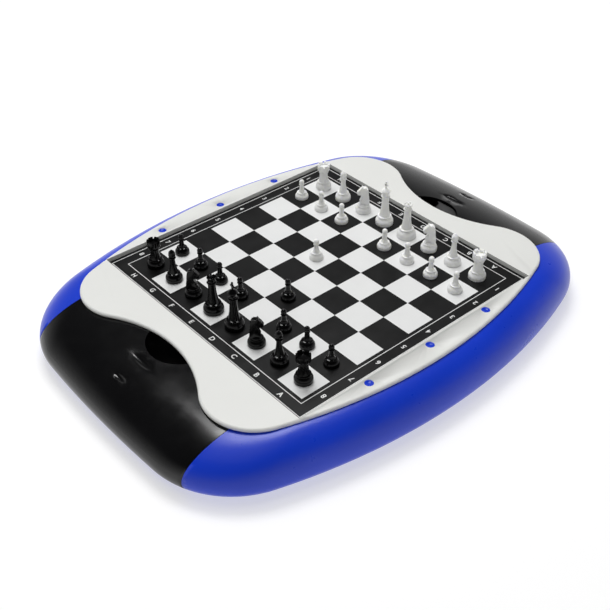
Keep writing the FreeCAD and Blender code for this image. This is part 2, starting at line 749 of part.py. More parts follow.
def man_outline(kind):
    """Turned outline: foot, bell, collar, stem, neck, flare and crown, with a magnet pocket."""
    k = kind
    pocket = f"({k}_base - magnet_wall)"
    depth = "(magnet_thickness + magnet_inset)"
    return [
        ("0", depth), (pocket, depth), (pocket, "0"), (f"{k}_base", "0"),
        (f"{k}_base", "man_foot_height"),
        (f"{k}_base - man_foot_round", "man_foot_height + man_foot_round"),
        (f"({k}_bell + {k}_base - man_foot_round) / 2 - bell_hollow",
         f"(man_foot_height + man_foot_round + {k}_bell_height) / 2"),
        (f"{k}_bell", f"{k}_bell_height"), (f"{k}_collar", f"{k}_bell_height"),
        (f"{k}_collar", f"{k}_bell_height + collar_height"),
        (f"{k}_stem", f"{k}_bell_height + collar_height"),
        (f"{k}_neck", f"{k}_neck_height"), (f"{k}_flare", f"{k}_flare_height"),
        (f"{k}_crown", f"{k}_crown_height"), ("0", f"{k}_crown_height"),
    ]


def add_primitive(body, kind, name, z, **sizes):
    """Add or take away a primitive centred on the body's axis at a height."""
    feature = body.newObject(f"PartDesign::{kind}", name)
    return bind(feature, z=z, **sizes)


def add_cross(body, name, length, width, z):
    """A block centred on the axis, used for the king's cross."""
    feature = body.newObject("PartDesign::AdditiveBox", name)
    bind(feature, Length=length, Width=width, Height=f"({z[1]}) - ({z[0]})",
         x=f"-({length}) / 2", y=f"-({width}) / 2", z=z[0])


def king_top(body):
    arm_top = "king_cross_height - cross_arm_height"
    add_cross(body, "cross_post", "cross_bar", "cross_bar",
              ("king_crown_height - cross_root", "king_cross_height"))
    add_cross(body, "cross_arm", "cross_bar", "cross_width", (f"{arm_top} - cross_bar", arm_top))


def ball_top(body, kind):
    ball = f"{kind}_ball_radius"
    add_primitive(body, "AdditiveSphere", f"{kind}_ball",
                  f"{kind}_crown_height + {ball} * ball_seat", Radius=ball)


def rook_top(body):
    add_primitive(body, "SubtractiveCylinder", "rook_bowl", "rook_crown_height - rook_bowl_depth",
                  Radius="rook_bowl_radius", Height="rook_bowl_depth + overrun")
    for name, length, width in (("rook_notch_a", "2 * rook_base", "rook_notch_width"),
                                ("rook_notch_b", "rook_notch_width", "2 * rook_base")):
        feature = body.newObject("PartDesign::SubtractiveBox", name)
        bind(feature, Length=length, Width=width, Height="rook_notch_depth + overrun",
             x=f"-({length}) / 2", y=f"-({width}) / 2", z="rook_crown_height - rook_notch_depth")


def knight_top(body):
    """Horse's head, a flat outline padded to both sides of the middle plane."""
    points = [(f"knight_head_length * {across}", f"knight_head_height * {up}")
              for across, up in KNIGHT_HEAD]
    points = [("0" if across.endswith("* 0.0") else across, "0" if up.endswith("* 0.0") else up)
              for across, up in points]
    sketch = polygon_sketch(body, "knight_head_outline", points)
    sketch.AttachmentOffset = FreeCAD.Placement(
        V(-size("knight_head_back"), size("knight_flare_height"), 0), FreeCAD.Rotation())
    head = body.newObject("PartDesign::Pad", "knight_head")
    head.Profile = sketch
    head.Midplane = True
    head.setExpression("Length", formula("knight_head_width"))
    doc.recompute()
    sides = [f"Edge{n}" for n, edge in enumerate(head.Shape.Edges, 1)
             if edge.BoundBox.ZMin > size("knight_crown_height + knight_bevel")
             and edge.BoundBox.YMax - edge.BoundBox.YMin < FLAT]
    bevel = body.newObject("PartDesign::Chamfer", "knight_head_bevel")
    bevel.Base = (head, sides)
    bevel.setExpression("Size", formula("knight_bevel"))


TOPS = {
    "king": king_top,
    "queen": lambda body: ball_top(body, "queen"),
    "bishop": lambda body: ball_top(body, "bishop"),
    "pawn": lambda body: ball_top(body, "pawn"),
    "rook": rook_top,
    "knight": knight_top,
}


def man_forms():
    """One body and one magnet for each kind of man."""
    forms = {}
    for kind in MEN:
        body = turned_body(f"{kind}_form", man_outline(kind))
        TOPS[kind](body)
        magnet = cylinder(f"{kind}_magnet", f"{kind}_base - magnet_wall - magnet_gap",
                          ("magnet_inset", "magnet_inset + magnet_thickness"))
        forms[kind] = (body, magnet)
    return forms


def square_place(file, rank):
    """Board position of a square as formulas: rank 1 is at +X, file H at +Y."""
    return f"square_size * {4.5 - rank}", f"square_size * {FILES.index(file) - 3.5}"


def position():
    """Name, kind and square of the 32 men on the board."""
    moved = {"white_pawn_e": ("e", 4), "black_pawn_d": ("d", 6),
             "black_king": ("d", 8), "black_queen": ("e", 8)}
    for colour, home, pawns in (("white", 1, 2), ("black", 8, 7)):
        for file, kind in zip(FILES, BACK_RANK):
            name = f"{colour}_{kind}" if kind in ("king", "queen") else f"{colour}_{kind}_{file}"
            yield name, kind, *moved.get(name, (file, home))
        for file in FILES:
            name = f"{colour}_pawn_{file}"
            yield name, "pawn", *moved.get(name, (file, pawns))


def chessmen():
    forms = man_forms()
    men = []
    for name, kind, file, rank in position():
        x, y = square_place(file, rank)
        turn = 180 if name.startswith("white") else 0
        if kind == "knight":
            turn -= size("knight_turn")
        men.append(placed(name, *forms[kind], x=x, y=y, z="field_height", turn=turn))
    return men


# ---------------------------------------------------------------- assembly

def build():
    outer = case_form("case_outer_form", 0.0)
    inner = case_form("case_inner_form", size("case_wall"))
    pieces = [
        base_shell(outer, inner),
        rubber_feet(),
        support_deck(),
        steel_plate(),
        square_plate("board_sheet", "sheet_half", "steel_top", "field_height"),
        top_panel(),
        panel_screws(),
        panel_plugs(),
        *drawers(outer, inner),
        *chessmen(),
    ]
    doc.recompute()
    return pieces


def check(pieces):
    """Stop on any object with an error, and on any sub-part without a valid solid."""
    for obj in doc.Objects:
        if {"Invalid", "Error"} & set(obj.State):
            raise RuntimeError(f"{obj.Name}: {obj.State}")
    for piece in pieces:
        shape = piece.Shape
        if shape.isNull() or not shape.isValid() or not shape.Solids:
            raise RuntimeError(f"{piece.Label}: shape is not a valid solid")


def export(pieces):
    os.makedirs("parts", exist_ok=True)
    for piece in pieces:
        piece.Shape.exportStep(f"parts/{piece.Label}.step")


PIECES = build()
check(PIECES)
export(PIECES)
print(f"{len(PIECES)} sub-parts written")
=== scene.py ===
import json
import math

import bmesh
import bpy
from bpy.props import FloatProperty, FloatVectorProperty, IntProperty, PointerProperty
from mathutils import Matrix, Vector


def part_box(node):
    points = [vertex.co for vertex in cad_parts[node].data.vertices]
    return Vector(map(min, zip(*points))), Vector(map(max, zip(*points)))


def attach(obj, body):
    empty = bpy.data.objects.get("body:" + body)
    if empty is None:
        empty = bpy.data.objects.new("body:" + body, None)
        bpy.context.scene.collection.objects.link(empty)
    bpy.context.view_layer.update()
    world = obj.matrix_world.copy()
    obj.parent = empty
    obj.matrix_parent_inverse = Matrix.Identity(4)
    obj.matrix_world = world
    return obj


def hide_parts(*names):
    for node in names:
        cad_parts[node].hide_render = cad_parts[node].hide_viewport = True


bl_info = {
    "name": "Magnetic Chess Set",
    "version": (1, 0, 0),
    "blender": (4, 5, 0),
    "location": "3D View > Sidebar > Chess Set",
    "description": "Builds a magnetic chess set in a moulded case with two storage drawers",
    "category": "Object",
}

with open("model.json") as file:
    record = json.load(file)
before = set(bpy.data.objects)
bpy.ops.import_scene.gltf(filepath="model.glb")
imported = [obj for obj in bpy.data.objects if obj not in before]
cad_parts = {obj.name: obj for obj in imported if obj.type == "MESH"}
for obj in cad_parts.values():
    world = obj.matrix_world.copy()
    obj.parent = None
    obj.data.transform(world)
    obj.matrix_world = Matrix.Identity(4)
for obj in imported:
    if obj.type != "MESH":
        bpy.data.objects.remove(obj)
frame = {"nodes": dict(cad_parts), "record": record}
NODES = frame["nodes"]
BODY_OF = {node: body for body, nodes in frame["record"]["behaviour"]["bodies"].items()
           for node in nodes}
SLOT_OF = {part["node"]: part["material_slot"] for part in frame["record"]["subparts"]}
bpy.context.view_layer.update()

FIELD_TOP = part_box("board_sheet")[1].z
MM = 0.001
FILES = "abcdefgh"


# ---------------------------------------------------------------- sizes and colours

def length(name, description, value, low=0.0):
    """A length that the user may change, in metres."""
    return FloatProperty(name=name, description=description, default=value, min=low,
                         unit="LENGTH", subtype="DISTANCE", precision=5)


def colour(name, description, value):
    """A linear colour that the user may change."""
    return FloatVectorProperty(name=name, description=description, default=value,
                               size=3, min=0.0, max=1.0, subtype="COLOR")


def angle(name, description, degrees):
    """An angle that the user may change."""
    return FloatProperty(name=name, description=description, default=math.radians(degrees),
                         unit="ROTATION", subtype="ANGLE")


class ChessSetSizes(bpy.types.PropertyGroup):
    """Sizes of the printed board and of the detailed pieces."""

    square: length("Square", "Side of one board square", 0.022)
    line_width: length("Line width", "Width of the two printed frame lines", 0.0005)
    inner_line: length("Inner line", "Distance of the inner printed line from the middle", 0.09064)
    outer_line: length("Outer line", "Distance of the outer printed line from the middle", 0.09856)
    mark_line: length("Coordinates", "Distance of the letters and numbers from the middle", 0.0946)
    mark_height: length("Mark height", "Height of the type of the letters and numbers", 0.0050)
    mark_weight: length("Mark weight", "How far each letter is swollen to look bold", 0.00010)
    ink: length("Ink", "Thickness of the printed ink", 0.00003)
    plug_radius: length("Plug radius", "Radius of the plugs over the panel screws", 0.00285)
    plug_dish: length("Plug dish", "Depth of the dish in each plug", 0.00055)
    smooth: angle("Smoothing angle", "Edges that turn more than this stay sharp", 32.0)
    knight_turn: angle("Knight turn", "How far each knight is turned from its file", -41.0)
    turns: IntProperty(name="Turning steps", description="Facets round a turned man",
                       default=48, min=12, max=96)
    arc_steps: IntProperty(name="Arc steps", description="Facets along each arc of a profile",
                           default=6, min=2, max=24)


class ChessSetColours(bpy.types.PropertyGroup):
    """Base colours of the mouldings, the printing and the metal."""

    blue: colour("Blue", "Lower case moulding and plugs", (0.007, 0.042, 0.560))
    panel_white: colour("Panel white", "Top panel", (0.74, 0.745, 0.72))
    print_white: colour("Print white", "Light squares and lines", (0.76, 0.765, 0.76))
    print_black: colour("Print black", "Dark squares and the border", (0.0060, 0.0060, 0.0062))
    drawer_black: colour("Drawer black", "Drawer handles", (0.0030, 0.0030, 0.0034))
    satin_black: colour("Satin black", "Drawer bins and inner deck", (0.012, 0.012, 0.013))
    white_men: colour("White men", "White chessmen", (0.90, 0.905, 0.89))
    black_men: colour("Black men", "Black chessmen", (0.0020, 0.0020, 0.0022))
    steel: colour("Steel", "Magnetic steel sheet", (0.50, 0.50, 0.51))
    zinc: colour("Zinc", "Screws", (0.56, 0.56, 0.53))
    rubber: colour("Rubber", "Feet", (0.020, 0.020, 0.020))
    magnet: colour("Magnet", "Magnet discs", (0.045, 0.043, 0.042))
    floor: colour("Floor", "Studio floor", (0.50, 0.50, 0.50))


class ChessSetStage(bpy.types.PropertyGroup):
    """Camera and studio light."""

    azimuth: angle("Azimuth", "Direction of the camera round the set", -40.870)
    elevation: angle("Elevation", "Height of the camera over the horizon", 38.317)
    roll: angle("Roll", "Turn of the camera about its own axis", -0.269)
    distance: length("Distance", "Distance of the camera from its aim", 0.63815)
    aim: FloatVectorProperty(name="Aim", description="Point that the camera looks at", size=3,
                             default=(-0.01446, -0.00632, 0.01398), subtype="XYZ", unit="LENGTH")
    lens: FloatProperty(name="Lens", description="Focal length in millimetres", default=55.53)
    top_power: FloatProperty(name="Top light", description="Power of the overhead softbox",
                             default=13.0, unit="POWER")
    key_power: FloatProperty(name="Key light", description="Power of the key softbox",
                             default=13.0, unit="POWER")
    horizon: FloatProperty(name="Horizon", description="Brightness of the studio's pale walls",
                           default=0.8)
    zenith: FloatProperty(name="Zenith", description="Brightness of the studio's ceiling",
                          default=0.03)
    floor_glow: FloatProperty(name="Floor glow", description="Light that the floor gives off",
                              default=0.55)


def sizes():
    """The scene's sizes."""
    return bpy.context.scene.chess_set_sizes


def colours():
    """The scene's colours."""
    return bpy.context.scene.chess_set_colours


# ---------------------------------------------------------------- materials

def add(tree, kind, inputs=(), **settings):
    """A shader node with its settings, and its inputs set to values or linked to sockets."""
    made = tree.nodes.new(kind)
    for name, value in settings.items():
        setattr(made, name, value)
    for key, value in dict(inputs).items():
        if isinstance(value, bpy.types.NodeSocket):
            tree.links.new(value, made.inputs[key])
        else:
            made.inputs[key].default_value = value
    return made


def start_material(name):
    """An empty material, with its tree and the object coordinates."""
    material = bpy.data.materials.new(f"{name}_finish")
    material.use_nodes = True
    tree = material.node_tree
    tree.nodes.clear()
    place = add(tree, "ShaderNodeTexCoord").outputs["Object"]
    return material, tree, place


def noise(tree, place, per_metre, detail=3.0, roughness=0.5):
    """Noise with a given number of features in each metre."""
    return add(tree, "ShaderNodeTexNoise", {
        "Vector": place, "Scale": per_metre, "Detail": detail,
        "Roughness": roughness}).outputs["Fac"]


def remap(tree, value, low, high, start=0.3, end=0.7):
    """A noise value spread between two limits."""
    return add(tree, "ShaderNodeMapRange", {
        "Value": value, "From Min": start, "From Max": end,
        "To Min": low, "To Max": high}).outputs["Result"]


def blend_colours(tree, factor, first, second):
    """The first colour at 0 and the second at 1."""
    mix = add(tree, "ShaderNodeMix", {0: factor, 6: first, 7: second}, data_type="RGBA")
    return mix.outputs[2]


def bump(tree, height, depth, strength=1.0):
    """Surface relief of a given depth in metres."""
    return add(tree, "ShaderNodeBump", {
        "Height": height, "Distance": depth, "Strength": strength}).outputs["Normal"]


def finish_material(tree, inputs):
    """The surface shader of a material, with its uniform values on its own sockets."""
    surface = add(tree, "ShaderNodeBsdfPrincipled", inputs)
    output = add(tree, "ShaderNodeOutputMaterial")
    tree.links.new(surface.outputs["BSDF"], output.inputs["Surface"])


def shaded(base, share):
    """A colour made darker or lighter by a share, with full alpha."""
    return tuple(min(1.0, channel * share) for channel in base) + (1.0,)


def moulded(name, base, roughness, spread=0.06, mottle=0.05, grain=1800.0, relief=3e-6,
            sink=2e-5, **extra):
    """Moulded plastic: faint mottling, uneven sheen, fine grain and a slow waviness."""
    material, tree, place = start_material(name)
    patches = noise(tree, place, 24.0)
    sheen = noise(tree, place, 90.0, 5.0, 0.6)
    wave = noise(tree, place, 14.0, 1.0)
    fine = noise(tree, place, grain, 2.0)
    tint = blend_colours(tree, remap(tree, patches, 0.0, 1.0),
                         shaded(base, 1 - mottle), shaded(base, 1 + mottle))
    uneven = remap(tree, sheen, roughness - spread / 2, roughness + spread / 2)
    relief_normal = add(tree, "ShaderNodeBump", {
        "Height": fine, "Distance": relief, "Strength": 1.0})
    slow = add(tree, "ShaderNodeBump", {
        "Height": wave, "Distance": sink, "Strength": 0.5,
        "Normal": relief_normal.outputs["Normal"]})
    finish_material(tree, {"Base Color": tint, "Roughness": uneven,
                           "Normal": slow.outputs["Normal"], **extra})
    return material


def printed_sheet_material():
    """Satin plastic sheet printed with the squares and the two frame lines."""
    material, tree, place = start_material("printed_sheet")
    size, tint = sizes(), colours()
    axes = add(tree, "ShaderNodeSeparateXYZ", {"Vector": place}).outputs

    def maths(operation, first, second=0.0):
        return add(tree, "ShaderNodeMath", {0: first, 1: second}, operation=operation).outputs[0]

    reach = maths("MAXIMUM", maths("ABSOLUTE", axes["X"]), maths("ABSOLUTE", axes["Y"]))
    field = maths("LESS_THAN", reach, 4 * size.square)
    checks = add(tree, "ShaderNodeTexChecker", {
        "Vector": place, "Scale": 1 / size.square,
        "Color1": (1, 1, 1, 1), "Color2": (0, 0, 0, 1)}).outputs["Fac"]
    light = maths("MULTIPLY", field, checks)
    for line in (size.inner_line, size.outer_line):
        distance = maths("ABSOLUTE", maths("SUBTRACT", reach, line))
        light = maths("ADD", light, maths("LESS_THAN", distance, size.line_width / 2))
    wear = noise(tree, place, 60.0, 6.0, 0.65)
    fibre = noise(tree, place, 900.0, 3.0)
    dark = blend_colours(tree, remap(tree, wear, 0.0, 1.0),
                         shaded(tint.print_black, 0.85), shaded(tint.print_black, 1.35))
    pale = blend_colours(tree, remap(tree, wear, 0.0, 1.0),
                         shaded(tint.print_white, 0.98), shaded(tint.print_white, 1.01))
    finish_material(tree, {
        "Base Color": blend_colours(tree, light, dark, pale),
        "Roughness": remap(tree, wear, 0.30, 0.38),
        "Specular IOR Level": 0.22,
        "Normal": bump(tree, fibre, 2e-6)})
    return material


def ink_material():
    """White ink of the letters and numbers."""
    material, tree, place = start_material("white_ink")
    speck = noise(tree, place, 700.0, 4.0)
    base = colours().print_white
    finish_material(tree, {
        "Base Color": blend_colours(tree, remap(tree, speck, 0.0, 1.0),
                                    shaded(base, 0.94), shaded(base, 1.0)),
        "Roughness": remap(tree, speck, 0.35, 0.45)})
    return material


def metal_material(name, base, roughness, stretch):
    """Bare metal with fine rolling or plating marks."""
    material, tree, place = start_material(name)
    drawn = add(tree, "ShaderNodeMapping", {"Vector": place, "Scale": stretch}).outputs["Vector"]
    streak = noise(tree, drawn, 400.0, 4.0)
    finish_material(tree, {
        "Base Color": blend_colours(tree, remap(tree, streak, 0.0, 1.0),
                                    shaded(base, 0.9), shaded(base, 1.1)),
        "Metallic": 1.0,
        "Roughness": remap(tree, streak, roughness - 0.05, roughness + 0.08),
        "Normal": bump(tree, streak, 2e-6)})
    return material


def make_materials():
    """Every finish of the set, by the record's slot name, with two that belong to no slot."""
    tint = colours()
    gloss = {"Specular IOR Level": 0.30, "Coat Weight": 0.12, "Coat Roughness": 0.22}
    milky = {"Subsurface Weight": 0.5, "Subsurface Radius": (0.0016, 0.0016, 0.0014),
             "Subsurface Scale": 1.0, "Coat Weight": 0.15, "Coat Roughness": 0.2}
    return {
        "blue_plastic": moulded("blue_plastic", tint.blue, 0.30, **gloss),
        "plug_blue_plastic": moulded("plug_blue_plastic", tint.blue, 0.24, **gloss),
        "white_panel_plastic": moulded("white_panel_plastic", tint.panel_white, 0.44,
                                       mottle=0.012, relief=5e-6),
        "black_gloss_plastic": moulded("black_gloss_plastic", tint.drawer_black, 0.17,
                                       mottle=0.2, grain=2600.0, relief=1e-6, sink=6e-6),
        "black_satin_plastic": moulded("black_satin_plastic", tint.satin_black, 0.48,
                                       mottle=0.12, relief=8e-6),
        "white_man_plastic": moulded("white_man_plastic", tint.white_men, 0.34,
                                     mottle=0.015, **milky),
        "black_man_plastic": moulded("black_man_plastic", tint.black_men, 0.14, mottle=0.2,
                                     relief=1e-6, **{"Specular IOR Level": 0.3}),
        "foot_rubber": moulded("foot_rubber", tint.rubber, 0.75, mottle=0.2, relief=2e-5),
        "steel_sheet": metal_material("steel_sheet", tint.steel, 0.38, (1.0, 0.04, 1.0)),
        "zinc_screw": metal_material("zinc_screw", tint.zinc, 0.30, (1.0, 1.0, 0.5)),
        "printed_sheet": printed_sheet_material(),
        "white_ink": ink_material(),
        "magnet": metal_material("magnet", tint.magnet, 0.55, (1.0, 1.0, 1.0)),
    }


def finish_of(name):
    """The finish of a slot, made once for the whole set."""
    if f"{name}_finish" not in bpy.data.materials:
        make_materials()
    return bpy.data.materials[f"{name}_finish"]


# ---------------------------------------------------------------- shared making

def keep_piece(name, form, node, materials=()):
    """Turn a bmesh into a finished piece that stands for a CAD node and rides on its body."""
    mesh = bpy.data.meshes.new(name)
    form.to_mesh(mesh)
    form.free()
    mesh.shade_smooth()
    mesh.set_sharp_from_angle(angle=sizes().smooth)
    slot = SLOT_OF[node]
    for finish in (slot, *materials):
        mesh.materials.append(finish_of(finish))
    piece = bpy.data.objects.new(name, mesh)
    bpy.context.scene.collection.objects.link(piece)
    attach(piece, BODY_OF[node])
    return piece


def dress_node(node):
    """Give a CAD node that is shown as it is the finish of its own slot."""
    mesh = NODES[node].data
    mesh.materials.clear()
    mesh.materials.append(finish_of(SLOT_OF[node]))
    for face in mesh.polygons:
        face.material_index = 0


def smooth_moulding(node):
    """A copy of a CAD node with joined facets and smooth shading, shown in its place."""
    form = bmesh.new()
    form.from_mesh(NODES[node].data)
    bmesh.ops.remove_doubles(form, verts=form.verts, dist=0.002 * MM)
    for face in form.faces:
        face.material_index = 0
    piece = keep_piece(f"{node}_moulding", form, node)
    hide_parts(node)
    return piece


def along_arc(start, end, bulge, steps):
    """Points from just after start to end; a positive bulge swells away from the axis."""
    if not bulge:
        return [end]
    chord = end - start
    turn = 4 * math.atan(bulge)
    outward = Vector((chord.y, -chord.x)) / chord.length
    centre = (start + end) / 2 - outward * (chord.length / 2 / math.tan(turn / 2))
    spoke = start - centre
    return [centre + Matrix.Rotation(turn * step / steps, 2) @ spoke
            for step in range(1, steps + 1)]


def turned(form, stations, turns=None):
    """Turn a profile of (radius, height, bulge to the next) stations, in mm, about Z."""
    points = [Vector(stations[0][:2])]
    for (_, _, bulge), station in zip(stations, stations[1:]):
        points += along_arc(points[-1], Vector(station[:2]), bulge, sizes().arc_steps)
    verts = [form.verts.new((radius * MM, 0.0, height * MM)) for radius, height in points]
    edges = [form.edges.new(pair) for pair in zip(verts, verts[1:])]
    bmesh.ops.spin(form, geom=verts + edges, cent=(0, 0, 0), axis=(0, 0, 1), angle=math.tau,
                   steps=turns or sizes().turns, use_merge=True, use_duplicate=False)


def close_form(form):
    """Join doubled points, drop slivers at the poles and point every face outwards."""
    bmesh.ops.remove_doubles(form, verts=form.verts, dist=0.001 * MM)
    bmesh.ops.dissolve_degenerate(form, edges=form.edges, dist=0.0005 * MM)
    bmesh.ops.recalc_face_normals(form, faces=form.faces)


def add_block(form, low, high, round_off):
    """A block between two corners, in mm, with rounded edges."""
    low, high = Vector(low) * MM, Vector(high) * MM
    spread = Matrix.Diagonal((*(high - low), 1.0))
    made = bmesh.ops.create_cube(form, size=1.0,
                                 matrix=Matrix.Translation((low + high) / 2) @ spread)
    edges = {edge for vert in made["verts"] for edge in vert.link_edges}
    bmesh.ops.bevel(form, geom=list(edges), offset=round_off * MM, offset_type="OFFSET",
                    affect="EDGES", segments=2, profile=0.5, material=-1)


# ---------------------------------------------------------------- chessmen

# Foot radius and shoulder of each kind of man, in mm.
FEET = {
    "pawn": (5.0, 3.2, 4.3),
    "rook": (5.9, 4.2, 5.2),
    "knight": (5.8, 4.0, 4.7),
    "bishop": (5.8, 3.8, 5.3),
    "queen": (6.8, 4.6, 5.9),
    "king": (6.4, 4.5, 5.9),
}

# Profile above the shoulder: radius, height and bulge to the next station, in mm.
UPPERS = {
    "pawn": ((3.4, 4.45, 0.9), (3.4, 5.15, 0.0), (2.8, 5.3, -0.20), (1.7, 8.3, -0.03),
             (1.45, 11.1, 0.0), (1.80, 11.3, 0.7), (1.75, 11.85, 0.0), (1.55, 12.1, 0.12),
             (1.85, 13.7, 0.41), (0.0, 15.6, 0.0)),
    "rook": ((4.45, 5.35, 0.9), (4.45, 6.15, 0.0), (3.9, 6.35, -0.10), (3.15, 13.4, 0.0),
             (3.5, 13.6, 0.6), (3.5, 14.2, -0.2), (4.35, 15.6, 0.0), (4.6, 16.2, 0.0),
             (4.6, 19.0, 0.0), (3.2, 19.0, 0.0), (3.0, 18.3, 0.0), (0.0, 18.0, 0.0)),
    "knight": ((4.25, 4.85, 0.9), (4.25, 5.65, 0.0), (3.9, 5.85, 0.2), (3.2, 6.9, 0.1),
               (0.0, 7.3, 0.0)),
    "bishop": ((4.05, 5.45, 0.9), (4.05, 6.25, 0.0), (3.3, 6.45, -0.09), (1.75, 17.4, 0.0),
               (2.25, 17.65, 0.7), (2.2, 18.3, 0.0), (1.6, 18.55, 0.30), (2.25, 21.0, 0.30),
               (1.0, 23.5, 0.30), (0.0, 24.3, 0.0)),
    "queen": ((4.85, 6.05, 0.9), (4.85, 6.95, 0.0), (4.0, 7.2, -0.07), (2.5, 22.0, 0.0),
              (3.0, 22.3, 0.7), (2.95, 23.0, 0.0), (2.4, 23.3, -0.22), (3.0, 26.2, 0.0),
              (2.3, 26.2, 0.0), (2.1, 25.7, 0.0), (0.9, 26.0, 0.0), (0.8, 26.4, 0.75),
              (0.0, 27.9, 0.0)),
    "king": ((4.75, 6.05, 0.9), (4.75, 6.95, 0.0), (3.9, 7.2, -0.07), (2.6, 22.2, 0.0),
             (3.1, 22.5, 0.7), (3.05, 23.2, 0.0), (2.5, 23.5, -0.22), (3.3, 27.2, 0.3),
             (3.0, 27.8, 0.15), (1.0, 29.3, 0.3), (0.0, 29.6, 0.0)),
}

# Magnet in the foot, in mm: wall round it, roof of its recess, its face and its play.
MAGNET_WALL = 1.4
MAGNET_DEPTH = 1.7
MAGNET_FACE = 0.2
MAGNET_GAP = 0.1


def foot_profile(kind):
    """Stations from the roof of the magnet recess, down, out and up to the shoulder."""
    foot, shoulder, height = FEET[kind]
    pocket = foot - MAGNET_WALL
    return [(0.0, MAGNET_DEPTH, 0.0), (pocket, MAGNET_DEPTH, 0.0), (pocket, 0.12, 0.0),
            (pocket + 0.12, 0.0, 0.0), (foot - 0.3, 0.0, 0.41), (foot, 0.3, 0.0),
            (foot, 1.4, 0.30), (shoulder + 0.45, height - 0.35, 0.12), (shoulder, height, 0.0)]


def add_magnet(form, kind):
    """The magnet disc in the foot, as the second material of the man."""
    radius = FEET[kind][0] - MAGNET_WALL - MAGNET_GAP
    before = set(form.faces)
    turned(form, [(0.0, MAGNET_FACE, 0.0), (radius - 0.15, MAGNET_FACE, 0.0),
                  (radius, MAGNET_FACE + 0.15, 0.0), (radius, MAGNET_DEPTH - 0.05, 0.0),
                  (0.0, MAGNET_DEPTH - 0.05, 0.0)])
    for face in set(form.faces) - before:
        face.material_index = 1


SAME_LEVEL = 0.02


def add_merlons(form, inner, outer, level, rise, count, share):
    """Raise stretches of a flat ring between two radii into battlements or crown points."""
    ring = []
    for face in form.faces:
        middle = face.calc_center_median()
        radius = math.hypot(middle.x, middle.y)
        around = math.atan2(middle.y, middle.x) / math.tau * count % 1.0
        flat = abs(middle.z - level * MM) < SAME_LEVEL * MM
        if flat and inner * MM < radius < outer * MM and around < share:
            ring.append(face)
    raised = bmesh.ops.extrude_face_region(form, geom=ring)["geom"]
    bmesh.ops.delete(form, geom=ring, context="FACES_ONLY")
    tops = [item for item in raised if isinstance(item, bmesh.types.BMVert)]
    bmesh.ops.translate(form, verts=tops, vec=(0, 0, rise * MM))


# King's cross, in mm: post from root to top, arm between two levels, and half widths.
CROSS_ROOT, CROSS_TOP = 29.2, 34.9
ARM_LOW, ARM_HIGH = 31.7, 32.8
CROSS_HALF_DEPTH = 0.55
POST_HALF_WIDTH = 0.5
ARM_HALF_WIDTH = 1.6
CROSS_ROUND = 0.15


def king_top(form):
    """Cross with a post and two arms."""
    for half_width, low, high in ((POST_HALF_WIDTH, CROSS_ROOT, CROSS_TOP),
                                  (ARM_HALF_WIDTH, ARM_LOW, ARM_HIGH)):
        add_block(form, (-CROSS_HALF_DEPTH, -half_width, low),
                  (CROSS_HALF_DEPTH, half_width, high), CROSS_ROUND)


def queen_top(form):
    """Eight points on the rim of the crown."""
    add_merlons(form, inner=2.3, outer=3.0, level=26.2, rise=0.8, count=8, share=0.6)


def rook_top(form):
    """Six battlements on the rim of the tower."""
    add_merlons(form, inner=3.2, outer=4.6, level=19.0, rise=1.4, count=6, share=0.7)


# Knight's head in side view, forward along X, from the chest round the muzzle, ears and mane.
KNIGHT_SIDE = (
    (3.0, 6.3), (2.9, 8.4), (2.1, 10.6), (1.1, 12.4), (0.8, 14.0), (1.9, 14.9), (3.2, 14.3),
    (4.5, 14.4), (4.9, 15.8), (4.0, 17.3), (2.8, 18.7), (1.9, 19.6), (1.4, 20.9), (0.3, 19.9),
    (-1.2, 20.1), (-2.4, 19.2), (-3.2, 17.6), (-3.5, 15.5), (-3.6, 13.3), (-4.0, 11.1),
    (-4.2, 8.7), (-4.0, 6.3),
)


# Knight's head, in mm: half width at its root, and how it thins upwards and forwards.
HEAD_ROOT = 6.0
HEAD_HALF_WIDTH = 2.7
CREST_THINNING = 0.07
CHEEK_FRONT = 1.0
MUZZLE_THINNING = 0.16
HEAD_ROUND = 0.6
EYE_PLACE = (2.5, 1.62, 17.1)
EYE_RADIUS = 0.42


def knight_top(form):
    """Horse's head: the side outline padded both ways, thinner at the muzzle and the crest."""
    outline = [form.verts.new((across * MM, 0.0, up * MM)) for across, up in KNIGHT_SIDE]
    face = bmesh.ops.contextual_create(form, geom=outline)["faces"][0]
    moved = bmesh.ops.extrude_face_region(form, geom=[face], use_keep_orig=True)["geom"]
    far = [item for item in moved if isinstance(item, bmesh.types.BMVert)]
    cheeks = [face] + [item for item in moved if isinstance(item, bmesh.types.BMFace)]
    bmesh.ops.triangulate(form, faces=cheeks, ngon_method="EAR_CLIP")
    for verts, side in ((outline, -1), (far, 1)):
        for vert in verts:
            height = vert.co.z / MM
            forward = vert.co.x / MM
            half = (HEAD_HALF_WIDTH - CREST_THINNING * (height - HEAD_ROOT)
                    - MUZZLE_THINNING * max(0.0, forward - CHEEK_FRONT))
            vert.co.y = side * half * MM
    rim = {edge for vert in outline + far for edge in vert.link_edges
           if edge.calc_face_angle(0.0) > math.radians(50)
           and edge.verts[0].co.y * edge.verts[1].co.y > 0}
    bmesh.ops.bevel(form, geom=list(rim), offset=HEAD_ROUND * MM, offset_type="OFFSET",
                    affect="EDGES", segments=3, profile=0.5, material=-1, clamp_overlap=True)
    for side in (-1, 1):
        forward, aside, up = EYE_PLACE
        eye = Matrix.Translation(Vector((forward, side * aside, up)) * MM)
        bmesh.ops.create_icosphere(form, subdivisions=2, radius=EYE_RADIUS * MM, matrix=eye)


TOPS = {"king": king_top, "queen": queen_top, "rook": rook_top, "knight": knight_top}


def man_form(kind):
    """One man of a kind, standing on the origin and facing +X."""
    form = bmesh.new()
    turned(form, foot_profile(kind) + list(UPPERS[kind]))
    close_form(form)
    if kind in TOPS:
        TOPS[kind](form)
    add_magnet(form, kind)
    close_form(form)
    return form


